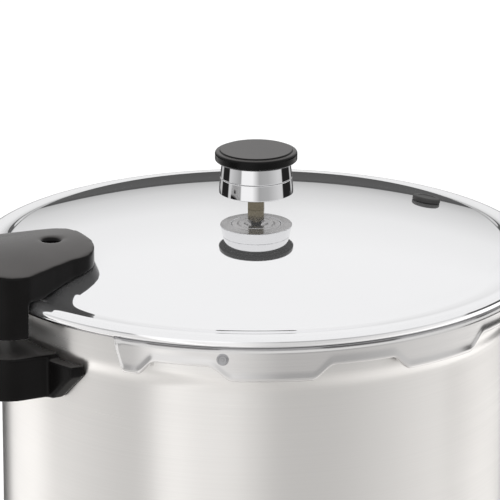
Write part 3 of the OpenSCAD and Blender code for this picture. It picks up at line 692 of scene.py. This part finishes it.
def eased(start, end, start_slope, end_slope, count):
    """A cubic from one (radius, height) point to another with given slopes at both ends."""
    share = np.linspace(0, 1, count)
    width = end[0] - start[0]
    r = start[0] + share * width
    blend_0 = 2 * share**3 - 3 * share**2 + 1
    blend_1 = 3 * share**2 - 2 * share**3
    tilt_0 = (share**3 - 2 * share**2 + share) * width * start_slope
    tilt_1 = (share**3 - share**2) * width * end_slope
    return np.stack([r, blend_0 * start[1] + blend_1 * end[1] + tilt_0 + tilt_1], axis=-1)


def skirt_outline(z):
    """Outer radius of the skirt at a drop z under the flange: the skirt's radius less the groove,
    which is a bell curve. Down to the bead's end, the bead's circle holds where it is larger."""
    groove = np.exp(-((z - GROOVE_MIDDLE) / GROOVE_HALF_W) ** 2) * GROOVE_DEPTH
    shoulder = SKIRT_OUT - groove
    bead = BEAD_X + np.sqrt(np.maximum(BEAD_R**2 - (z - BEAD_R) ** 2, 0))
    return np.where(z < BEAD_END, np.maximum(bead, shoulder - BEAD_UNDERCUT), shoulder)


def both_halves(edges):
    """The angles of a list of edges, each with its twin half a turn further."""
    return [edge[0] + half for edge in edges for half in (0, 180)]


def tab_steps(angles):
    """Drop of the skirt's edge and reach of the hook (0 to 1) at each angle: the sum of a smooth
    step at every tab edge, the same in both halves of the turn."""
    within = angles % 180 + 180
    drop = np.full(len(angles), GAP_DROP)
    hook = np.zeros(len(angles))
    for angle, change, hook_change, width in TAB_EDGES:
        step = smoothstep((within - angle) / (2 * width) + 0.5)
        drop = drop + change * step
        hook = hook + hook_change * step
    return drop, hook


def cover_top():
    """Profile from the dome's middle over the slope and the ledge and round the bead."""
    dome_r = DOME_EDGE_R * np.sin(np.linspace(0, math.pi / 2, 26)) ** 0.9
    dome = np.stack([dome_r, dome_height(dome_r)], axis=-1)
    slope_start = (DOME_EDGE_R + SLOPE_OUT, dome_height(DOME_EDGE_R) - SLOPE_DROP)
    slope = eased(slope_start, SLOPE_FOOT, SLOPE_TILT, SLOPE_FOOT_TILT, 13)
    ledge = eased(LEDGE_START, (BEAD_X, FLANGE_Z), 0.0, 0.01, 5)
    turn = np.radians(np.linspace(*BEAD_ARC, 13))
    bead = np.stack(
        [BEAD_X + BEAD_R * np.cos(turn), FLANGE_Z - BEAD_R + BEAD_R * np.sin(turn)], axis=-1)
    return np.concatenate([dome, slope, ledge, bead])


def skirt_rows(drop, hook, start_drop):
    """The skirt's outside from a drop down to its edge, then the edge's quarter round, which is
    larger where there is a hook. The lip is a bell curve of the height over the edge."""
    corner = EDGE_ROUND + HOOK_ROUND * hook
    share = np.linspace(0, 1, 45)[1:]
    z = start_drop + share[None, :] * (drop - corner - start_drop)[:, None]
    above_edge = drop[:, None] - z
    lip = LIP_PROUD * np.exp(-((above_edge - LIP_RISE) / LIP_WIDTH) ** 2)
    wall = np.stack([skirt_outline(z) + lip, FLANGE_Z - z], axis=-1)
    turn = np.radians(np.linspace(0, -90, 6))[1:]
    edge = np.stack([
        (wall[:, -1, 0] - corner)[:, None] + corner[:, None] * np.cos(turn),
        (FLANGE_Z - drop + corner)[:, None] + corner[:, None] * np.sin(turn)], axis=-1)
    return np.concatenate([wall, edge], axis=1)


def hook_rows(drop, hook):
    """The edge's inner side: the hook's end, or the skirt's inner face where there is none, and
    the way back out over the hook to the skirt."""
    inner_r = SKIRT_IN + hook * (HOOK_IN - SKIRT_IN)
    base = FLANGE_Z - drop
    return np.stack([
        np.stack([inner_r + 2 * INNER_ROUND, base], axis=-1),
        np.stack([inner_r + 0.3 * INNER_ROUND, base + 0.3 * INNER_ROUND], axis=-1),
        np.stack([inner_r, base + INNER_ROUND], axis=-1),
        np.stack([inner_r, base + 1.2 + 1.3 * hook], axis=-1),
        np.stack([inner_r + 0.4 * hook, base + 1.4 + 1.7 * hook], axis=-1),
        np.stack([SKIRT_IN - 0.3 * hook, base + 1.6 + 1.7 * hook], axis=-1),
        np.stack([np.full_like(base, SKIRT_IN), base + 1.9 + 1.8 * hook], axis=-1),
    ], axis=1)


def cover_underside():
    """Profile from the skirt's inner face up under the bead and the slope to the dome's middle."""
    under = filleted([
        (SKIRT_IN, FLANGE_Z - 4.6, 0), (SKIRT_IN, FLANGE_Z - COVER_T, 1.4),
        (158.0, FLANGE_Z - COVER_T, 3),
        (DOME_EDGE_R - 1.2, dome_height(DOME_EDGE_R, COVER_T) + 0.2, 2),
        (DOME_EDGE_R - 12, dome_height(DOME_EDGE_R - 12, COVER_T), 0)])
    dome_r = np.linspace(DOME_EDGE_R - 16, 0, 12)
    return np.concatenate([under, np.stack([dome_r, dome_height(dome_r, COVER_T)], axis=-1)])


def build_cover():
    """The pressed cover as one closed shell: polished down to the skirt's first rows, and satin
    from there on, down the skirt and back under the dome."""
    angles = refined_turns(both_halves(TAB_EDGES), coarse=1.0, fine=0.4, reach=3.2)
    drop, hook = tab_steps(angles)
    top = cover_top()
    count = len(angles)
    rows = np.concatenate([
        repeated(top, count), skirt_rows(drop, hook, FLANGE_Z - top[-1][1]), hook_rows(drop, hook),
        repeated(cover_underside(), count)], axis=1)
    satin = np.zeros(rows.shape[1])
    satin[len(top) + 2:] = 1
    shell = net_object("cover_shell", spun(rows, np.radians(angles)), across_materials=satin)
    place(shell, "cover", "cover_aluminium", "cover", "polished_aluminium", "satin_skirt")


# ------------------------------------------------------------------ pot

POT_R = RIM_R - 4.2
POT_WALL = 3.5
POT_BASE = 5.0
INNER_R = POT_R - POT_WALL
# the base stands on a ring round a middle that is raised a little
MIDDLE_RISE = 0.4
BASE_CORNER = 14
INNER_CORNER = 10.5
RIM_BAND_Z = POT_TOP - 19.2
FLARE_H = 12
# the lugs: foot, thickness, degrees over which an end rises, and (angle, step) of the ends
LUG_Z = HOOK_Z + 3.6
LUG_T = 4.0
LUG_RISE = 0.6
LUG_EDGES = [
    (217, 1), (222, -1), (241, 1), (253, -1), (276.5, 1), (290, -1), (314.5, 1), (323.5, -1)]
# a lug's profile, as (share of its reach, height)
LUG_ROWS = [
    (0, LUG_Z - 0.1), (0.9, LUG_Z), (1, LUG_Z + 0.4), (1, LUG_Z + LUG_T - 0.4),
    (0.9, LUG_Z + LUG_T), (0, LUG_Z + LUG_T + 0.1)]


def build_pot():
    """The drawn pot as one closed shell: rounded base, straight wall, a flare up to the thick rim
    band with its bayonet lugs, and the inner wall back down to the base."""
    angles = refined_turns(both_halves(LUG_EDGES), coarse=1.0, fine=0.25, reach=0.8)
    within = angles % 180 + 180
    lug = np.zeros(len(angles))
    for angle, change in LUG_EDGES:
        lug = lug + change * smoothstep((within - angle) / LUG_RISE + 0.5)
    below = filleted([
        (0, MIDDLE_RISE, 0), (POT_R - 18, MIDDLE_RISE, 1), (POT_R - 16.5, 0, 0.6),
        (POT_R, 0, BASE_CORNER), (POT_R, 100, 0)], arc_steps=9)
    wall = np.stack([np.full(5, POT_R), np.linspace(104, RIM_BAND_Z - 14, 5)], axis=-1)
    flare_z = np.linspace(RIM_BAND_Z + 1 - FLARE_H, RIM_BAND_Z + 1, 13)
    flare_r = POT_R + (RIM_R - POT_R) * smoothstep((flare_z - flare_z[0]) / FLARE_H)
    flare = np.stack([flare_r, flare_z], axis=-1)
    lugs = np.stack([
        np.stack([RIM_R + (LUG_R - RIM_R) * reach * lug, np.full_like(lug, z)], axis=-1)
        for reach, z in LUG_ROWS], axis=1)
    inside = filleted([
        (RIM_R, POT_TOP - 4, 0), (RIM_R, POT_TOP, 1.6), (INNER_R, POT_TOP, 1.2),
        (INNER_R, POT_BASE, INNER_CORNER), (0, POT_BASE, 0)], arc_steps=9)
    count = len(angles)
    outside = np.concatenate([below, wall, flare])
    rows = np.concatenate([repeated(outside, count), lugs, repeated(inside, count)], axis=1)
    shell = net_object("pot_shell", spun(rows, np.radians(angles)))
    place(shell, "canner", "pot_aluminium", "canner_body", "satin_wall")


# ------------------------------------------------------------------ regulator


# how much each ring weight narrows towards its top, and its play round the core
RING_TAPERS = [("lower_weight_ring", "lower_ring", 0.85), ("upper_weight_ring", "upper_ring", 0.95)]
RING_PLAY = 0.05
# the core's bore for the vent pipe, the height of its mouth's funnel, and its pin into the cap
BORE_R = 3.4
BORE_H = 12.9
FUNNEL_H = 3.2
PIN_R = 4
PIN_H = 4
# the cap: its socket over the pin, the disc on top set in from the side, and the disc's height
SOCKET_R = 4.1
SOCKET_H = 4.2
DISC_INSET = 3.2
DISC_H = 0.9


def build_regulator():
    """The two ring weights, the core with its mouth, and the black cap with its raised disc."""
    core_low, core_high = extent("regulator_core")
    core_r = core_high[0]
    bore = core_r + RING_PLAY
    for node, body, taper in RING_TAPERS:
        low, high = extent(node)
        profile = filleted([
            (bore, low[2], 0.35), (high[0], low[2], 0.5), (high[0] - taper, high[2], 0.35),
            (bore, high[2], 0.35)], closed=True)
        underneath = (np.abs(profile[:, 1] - low[2]) < 0.01).astype(int)
        ring = turned(node + "_turned", profile, count=192, closed=True, materials=underneath)
        place(ring, body, "weight_chrome", node, "weight_chrome", "turned_face")
    low, high = extent("regulator_cap")
    mouth = core_low[2]
    cap_z = low[2]
    core = turned("regulator_core_turned", filleted([
        (0, mouth + BORE_H, 0), (BORE_R, mouth + BORE_H, 0.4), (BORE_R, mouth + FUNNEL_H, 0.8),
        (7.4, mouth, 0.5), (10.6, mouth, 0.3), (10.9, mouth + 0.5, 0.2),
        (11.4, mouth + 0.5, 0.2), (11.7, mouth, 0.3), (core_r, mouth, 0.5),
        (core_r, cap_z, 0.3), (PIN_R, cap_z, 0.3), (PIN_R, cap_z + PIN_H, 0.4),
        (0, cap_z + PIN_H, 0)]), count=96)
    place(core, "regulator", "core_steel", "regulator_core", "core_steel")
    cap_r = high[0]
    disc_r = cap_r - DISC_INSET
    side_top = high[2] - DISC_H
    cap = turned("regulator_cap_moulded", filleted([
        (0, cap_z + SOCKET_H, 0), (SOCKET_R, cap_z + SOCKET_H, 0.2), (SOCKET_R, cap_z, 0.3),
        (cap_r - 1.4, cap_z, 0.4), (cap_r, cap_z + 1.2, 1.0), (cap_r, side_top, 1.5),
        (disc_r + 0.5, side_top, 0.3), (disc_r, high[2], 0.5), (0, high[2], 0)]), count=192)
    place(cap, "regulator", "cap_plastic", "regulator_cap", "cap_plastic")


# ------------------------------------------------------------------ pieces set in the cover


# an axis steeper than this is crossed with X, to find a direction square to it
NEARLY_UPRIGHT = 0.9
PLUG_INSET = 29
RIVET_ANGLE = math.radians(237.5)
# profiles of the plug and of a rivet, as (radius, height over the metal's face, fillet)
PLUG = [
    (0, -6.0, 0), (7, -6.0, 0.8), (7, -3.1, 0.6), (5, -2.9, 0.3), (5, 0.1, 0.2), (8.5, 0.1, 0.5),
    (8.5, 3.0, 1.3), (5.6, 3.0, 0.4), (5.2, 2.6, 0.4), (0, 2.45, 0)]
RIVET = [
    (0, -1.1, 0), (3.4, -1.1, 0.3), (3.4, -0.45, 0.2), (2.0, -0.4, 0.1), (2.0, 2.7, 0.1),
    (3.5, 2.75, 0.15), (3.5, 3.3, 0.4), (2.7, 3.5, 0.2), (2.1, 2.95, 0.15), (1.1, 2.95, 0.15),
    (0.8, 3.45, 0.15), (0, 3.5, 0)]


def turned_along(name, profile, origin, axis, count=64):
    """A turned piece whose own axis runs from origin along a direction."""
    aside = UP if abs(axis.z) < NEARLY_UPRIGHT else Vector((1, 0, 0))
    across = axis.cross(aside).normalized()
    other = axis.cross(across)
    turns = np.linspace(0, 2 * math.pi, count, endpoint=False)
    ring = np.cos(turns)[:, None] * np.array(across) + np.sin(turns)[:, None] * np.array(other)
    grid = (
        np.array(origin) + profile[None, :, 0, None] * ring[:, None, :]
        + profile[None, :, 1, None] * np.array(axis))
    return net_object(name, grid)


def build_plug():
    """The overpressure plug, square on the dome, with a shallow dish in its head. Its tilt is the
    angle whose sine is its distance from the cover's axis divided by the dome's radius."""
    low, high = extent("overpressure_plug")
    turn = math.atan2(low[1] + high[1], low[0] + high[0])
    tilt = math.asin((DOME_EDGE_R - PLUG_INSET) / DOME_SPHERE_R)
    axis = Vector((
        math.sin(tilt) * math.cos(turn), math.sin(tilt) * math.sin(turn), math.cos(tilt)))
    origin = UP * (DOME_TOP - DOME_SPHERE_R) + axis * DOME_SPHERE_R
    piece = turned_along("overpressure_plug_moulded", filleted(PLUG), origin, axis)
    place(piece, "cover", "plug_rubber", "overpressure_plug", "plug_rubber")


def build_stop_rivets():
    """The two skirt rivets: a flat head with a ring round a dished middle."""
    low, high = extent("stop_rivets")
    middle = UP * ((low[2] + high[2]) / 2)
    for k, turn in enumerate((RIVET_ANGLE, RIVET_ANGLE + math.pi)):
        axis = Vector((math.cos(turn), math.sin(turn), 0))
        foot = axis * SKIRT_IN + middle
        piece = turned_along(f"stop_rivet_{k}", filleted(RIVET), foot, axis, count=40)
        place(piece, "cover", "rivet_aluminium", "stop_rivets", "rivet_aluminium")


# ------------------------------------------------------------------ moulded handles

# the cover handle's tip in plan is a superellipse: its depth, half width and power. The tip is
# lengthened by the stretch, over the zone's length; the drawing-in starts gently
TIP_DEPTH = 38
TIP_HALF_W = 36
TIP_POWER = 2.6
TIP_STRETCH = 6
TIP_ZONE = 11
TIP_START = 4
WELD_DISTANCE = 1e-6


def round_tip(mesh):
    """Lengthens the cover handle's last stretch towards the middle of the cover, by a share that
    grows evenly over its zone, and draws its front in to a superellipse in plan: a point outside
    it slides towards the ellipse's middle until it lies on the outline."""
    tip = extent("cover_handle")[1][0]
    places = np.empty(len(mesh.vertices) * 3, np.float32)
    mesh.vertices.foreach_get("co", places)
    places = places.reshape(-1, 3).astype(float)
    into_zone = (places[:, 0] / MM - tip) / TIP_ZONE + 1
    places[:, 0] += TIP_STRETCH * MM * np.clip(into_zone, 0, 1)
    middle = (tip + TIP_STRETCH - TIP_DEPTH) * MM
    ahead = np.maximum(places[:, 0] - middle, 0) / (TIP_DEPTH * MM)
    aside = np.abs(places[:, 1]) / (TIP_HALF_W * MM)
    reach = (ahead**TIP_POWER + aside**TIP_POWER) ** (1 / TIP_POWER)
    draw = 1 + (1 / np.maximum(reach, 1) - 1) * smoothstep(ahead * TIP_START)
    places[:, 0] = np.where(ahead > 0, middle + (places[:, 0] - middle) * draw, places[:, 0])
    places[:, 1] *= draw
    mesh.vertices.foreach_set("co", places.astype(np.float32).ravel())


def apply_modifiers(piece):
    """Puts what the modifiers make of a piece into its own mesh, and clears them."""
    bpy.context.view_layer.update()
    evaluated = piece.evaluated_get(bpy.context.evaluated_depsgraph_get())
    piece.data = bpy.data.meshes.new_from_object(evaluated)
    piece.modifiers.clear()


def build_moulding(node, body, net, easing, shape=None):
    """A moulded handle: a merged copy of the node's solid, rebuilt as an even net of faces about
    net mm wide and eased, so that every edge is slightly round, as a moulding's are."""
    mesh = frame["nodes"][node].data.copy()
    work = bmesh.new()
    work.from_mesh(mesh)
    bmesh.ops.remove_doubles(work, verts=work.verts, dist=WELD_DISTANCE)
    work.to_mesh(mesh)
    work.free()
    piece = bpy.data.objects.new(node + "_moulded", mesh)
    bpy.context.scene.collection.objects.link(piece)
    even = piece.modifiers.new("even_net", "REMESH")
    even.mode = "VOXEL"
    even.voxel_size = net * MM
    if shape:
        apply_modifiers(piece)
        shape(piece.data)
    ease = piece.modifiers.new("eased_edges", "SMOOTH")
    ease.factor = 0.5
    ease.iterations = easing
    apply_modifiers(piece)
    piece.data.materials.clear()
    shade_smooth(piece.data)
    place(piece, body, "handle_phenolic", node, "handle_phenolic")


build_floor()
build_cover()
build_pot()
build_regulator()
build_plug()
build_stop_rivets()
build_moulding("cover_handle", "cover", net=1.0, easing=12, shape=round_tip)
build_moulding("body_handle_left", "canner", net=0.9, easing=5)
build_moulding("body_handle_right", "canner", net=0.9, easing=5)
